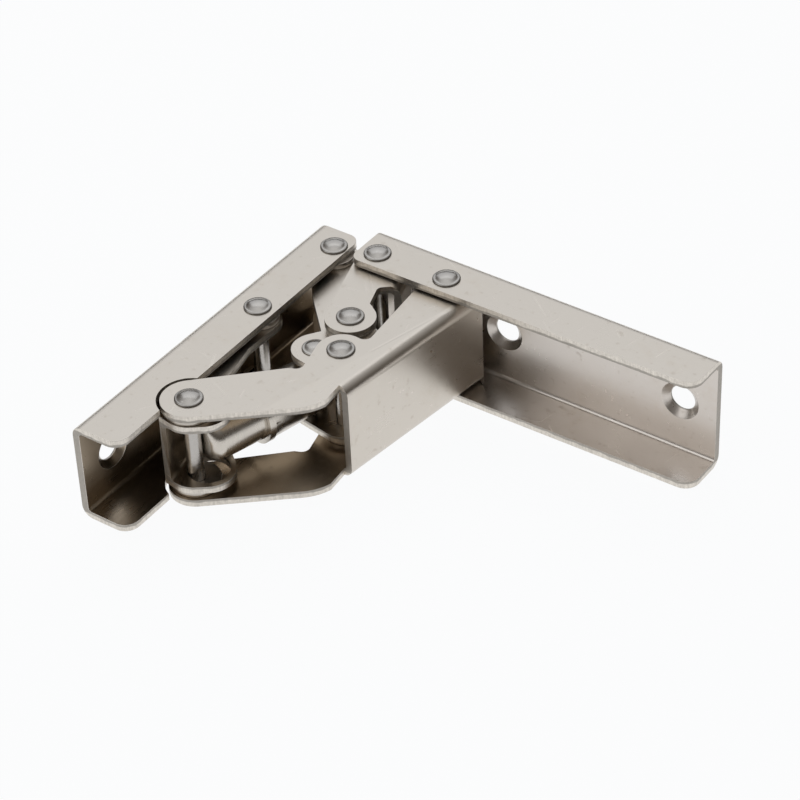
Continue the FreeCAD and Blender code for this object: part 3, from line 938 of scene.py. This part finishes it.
@dataclass
class Linkage:
    """Every piece of the bracket."""

    sheets: list[FoldedSheet] = field(
        default_factory=lambda: [
            # Each colour scale after a web direction darkens the faces inside that fold as painted
            # shade; the leaf channel's stays near 1.
            FoldedSheet("fixed_channel", Level.BODY, 90, (-1, 0), (0.68, 0.61, 0.52)),
            FoldedSheet("leaf_channel", Level.LEAF, 0, (0, 1), (1.0, 1.0, 1.03)),
            FoldedSheet(
                "body_link",
                Level.BODY,
                83,
                (0.99303, -0.11785),
                (0.70, 0.61, 0.50),
                creases=(Crease((-0.0065, 0.0277), (-0.0122, 0.0062), 0.4 * MM, -0.03 * MM, 0.04),),
                free_ends=(FreeEnd((-8.820, -3.801)),),
            ),
            FoldedSheet("centre_link", Level.CENTRE, -46, (0.722, 0.692)),
            FoldedSheet(
                "short_link",
                Level.BODY,
                -71,
                (0.94568, 0.32509),
                free_ends=(FreeEnd((-20.439, 32.533)), FreeEnd((-18.488, 26.859))),
            ),
            FoldedSheet(
                "cradle_link",
                Level.CENTRE,
                -77,
                (-0.97633, -0.21627),
                free_ends=(FreeEnd((-41.717, 3.586)),),
            ),
        ]
    )
    rivets: list[SetRivet] = field(
        default_factory=lambda: [
            *(SetRivet("rivet_" + pivot) for pivot in PIVOTS),
            SetRivet("rivet_spring_seat", 2.5 * MM, 0.9 * MM),
        ]
    )
    washers: list[WasherPair] = field(
        default_factory=lambda: [
            WasherPair("washers_" + pivot) for pivot in PIVOTS if not pivot.startswith("leaf")
        ]
    )
    capsule_turn: float = 73.53
    capsule_start: tuple[float, float] = (-0.031475, -0.02139)

    def build(self) -> list[bpy.types.Object]:
        """Builds every piece.

        Returns:
            The finished pieces.
        """
        shells = [
            CapsuleShell(node, self.capsule_start, self.capsule_turn)
            for node in ("spring_cup", "spring_sleeve")
        ]
        return [part.build() for part in (*self.sheets, *self.rivets, *self.washers, *shells)]


@dataclass(frozen=True)
class SoftLamp:
    """A soft square lamp that shines at the bracket."""

    name: str
    place: tuple[float, float, float]
    side: float
    watts: float
    tint: tuple[float, float, float]

    def hang(self) -> None:
        """Hangs the lamp."""
        data = bpy.data.lights.new(self.name, "AREA")
        data.size = self.side
        data.energy = self.watts
        data.color = self.tint
        lamp = bpy.data.objects.new(self.name, data)
        lamp.location = self.place
        lamp.rotation_mode = "QUATERNION"
        lamp.rotation_quaternion = Vector(self.place).to_track_quat("Z", "Y")
        bpy.context.scene.collection.objects.link(lamp)


@dataclass
class Studio:
    """The photograph's camera, a pale table and soft lamps."""

    azimuth: float = 36.81
    elevation: float = 38.43
    roll: float = -2.59
    lens: float = 129.97
    sensor: float = 36.0
    nearest: float = 0.01
    farthest: float = 20.0
    aim_mm: tuple[float, float, float] = (-19.715, 38.8, 1.1)
    offset_mm: tuple[float, float, float] = (-6.892, -9.810, 569.06)
    table_size: float = 6.0
    table_matt: tuple[float, float, float, float] = (0.94, 0.94, 0.94, 1.0)
    table_glow: tuple[float, float, float, float] = (0.99, 0.995, 1.0, 1.0)
    table_shown: float = 0.95
    room_tones: tuple[tuple[float, tuple[float, float, float]], ...] = (
        (0.0, (0.030, 0.023, 0.016)),
        (0.30, (0.10, 0.087, 0.075)),
        (0.62, (0.25, 0.237, 0.225)),
        (0.82, (0.48, 0.475, 0.47)),
        (1.0, (0.95, 0.95, 0.95)),
    )
    lamps: tuple[SoftLamp, ...] = (
        SoftLamp("overhead", (-0.55, 0.75, 0.75), 1.2, 3.2, (0.92, 0.955, 1)),
        SoftLamp("window", (-0.52, -0.69, 0.68), 0.9, 2.3, (0.98, 0.99, 1)),
    )

    def camera(self) -> None:
        """Sets the camera where the photograph was taken from."""
        turn = math.radians(self.azimuth)
        rise = math.radians(self.elevation)
        tilt = math.radians(self.roll)
        back = Vector(
            (math.sin(turn) * math.cos(rise), -math.cos(turn) * math.cos(rise), math.sin(rise))
        )
        level = Vector((math.cos(turn), math.sin(turn), 0))
        upright = back.cross(level)
        right = level * math.cos(tilt) + upright * math.sin(tilt)
        up = upright * math.cos(tilt) - level * math.sin(tilt)
        data = bpy.data.cameras.new("photo_camera")
        data.lens = self.lens
        data.sensor_width = self.sensor
        data.clip_start = self.nearest
        data.clip_end = self.farthest
        camera = bpy.data.objects.new("photo_camera", data)
        bpy.context.scene.collection.objects.link(camera)
        place = right * self.offset_mm[0] + up * self.offset_mm[1] + back * self.offset_mm[2]
        turned = Matrix((right, up, back)).transposed().to_4x4()
        turned.translation = (place + Vector(self.aim_mm)) * MM
        camera.matrix_world = turned
        bpy.context.scene.camera = camera

    def table(self) -> None:
        """Lays the pale table, which the camera sees as white with a soft shadow."""
        mesh = bmesh.new()
        bmesh.ops.create_grid(mesh, x_segments=1, y_segments=1, size=self.table_size / 2)
        data = bpy.data.meshes.new("table_top")
        mesh.to_mesh(data)
        mesh.free()
        top = bpy.data.objects.new("table_top", data)
        bpy.context.scene.collection.objects.link(top)
        data.materials.append(self.table_finish())

    def table_finish(self) -> bpy.types.Material:
        """A matt white that the camera and the metal see as a white background.

        Returns:
            The table's material.
        """
        recipe = Recipe(bpy.data.materials.new("table_white"))
        nodes = recipe.tree.nodes
        nodes.remove(recipe.shader)
        rays = recipe.node("ShaderNodeLightPath", output="Is Camera Ray")
        outputs = rays.socket.node.outputs
        seen = rays.joined("MAXIMUM", Wire(recipe, outputs["Is Glossy Ray"]))
        seen = seen.joined("MAXIMUM", Wire(recipe, outputs["Is Transmission Ray"]))
        matt = recipe.node("ShaderNodeBsdfDiffuse", None, {"Color": self.table_matt})
        glow = recipe.node(
            "ShaderNodeEmission", None, {"Color": self.table_glow, "Strength": 1.0}
        )
        both = recipe.node("ShaderNodeMixShader", None, {0: seen * self.table_shown, 1: matt, 2: glow})
        recipe.plug(nodes["Material Output"].inputs["Surface"], both)
        return recipe.owner

    def sky(self) -> None:
        """A dim, warm room that is paler overhead, and white where the camera sees it."""
        world = bpy.data.worlds.new("soft_room")
        bpy.context.scene.world = world
        recipe = Recipe(world)
        nodes = recipe.tree.nodes
        nodes.remove(nodes["Background"])
        _, _, height = recipe.parts(recipe.node("ShaderNodeTexCoord", output="Generated"))
        stops = [(place, shade(tone, 1.0)) for place, tone in self.room_tones]
        tone = recipe.node("ShaderNodeValToRGB", {"stops": stops}, {0: height})
        room = recipe.node("ShaderNodeBackground", None, {"Color": tone, "Strength": 1.0})
        white = recipe.node("ShaderNodeBackground", None, {"Color": (1, 1, 1, 1)})
        rays = recipe.node("ShaderNodeLightPath", output="Is Camera Ray")
        both = recipe.node("ShaderNodeMixShader", None, {0: rays, 1: room, 2: white})
        recipe.plug(nodes["World Output"].inputs["Surface"], both)

    def build(self) -> None:
        """Sets up the camera, the table, the room and the lamps."""
        self.camera()
        self.table()
        self.sky()
        for lamp in self.lamps:
            lamp.hang()
        bpy.context.scene.view_settings.view_transform = "Standard"


def main() -> None:
    """Builds the bracket and the studio."""
    Linkage().build()
    Studio().build()


if __name__ == "__main__":
    main()
